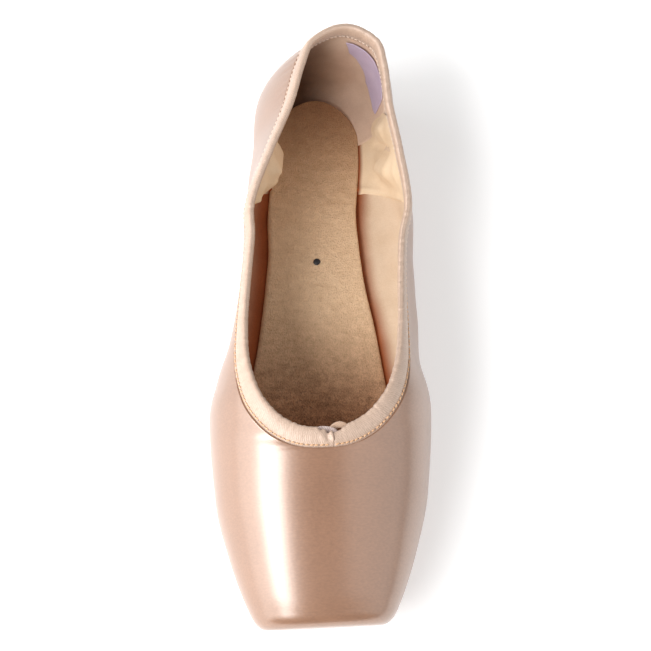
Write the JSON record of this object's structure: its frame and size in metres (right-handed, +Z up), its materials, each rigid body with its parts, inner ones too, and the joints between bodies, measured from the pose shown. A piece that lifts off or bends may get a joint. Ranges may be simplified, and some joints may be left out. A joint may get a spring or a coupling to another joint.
{
  "type": "pointe shoe",
  "caption": "Satin pointe shoe with a flat toe platform, a blocked box, a bound low collar, a felt sock and a small leather outsole, standing empty.",
  "frame": {"origin": "on the floor, under the middle of the shoe's length and width", "axes": "+Z up, -Y to the toe, +Y to the heel, +X to the right seen from behind the toe, looking at the heel"},
  "size_m": [0.089, 0.2476, 0.06],
  "materials": {
    "satin": "peach-pink satin with a soft gloss",
    "binding_tape": "peach-pink twill",
    "sole_leather": "natural, matt",
    "sock_felt": "tan, fine nap",
    "drawstring_pale": "pale woven tape",
    "drawstring_tan": "tan woven tape",
    "label_paper": "matt lilac, plain",
    "tack_black": "black"
  },
  "bodies": {
    "root": {"upper": "satin", "binding": "binding_tape", "outsole": "sole_leather", "sock": "sock_felt", "drawstring_left": "drawstring_pale", "drawstring_right": "drawstring_tan", "label": "label_paper", "tack": "tack_black"}
  },
  "joints": []
}
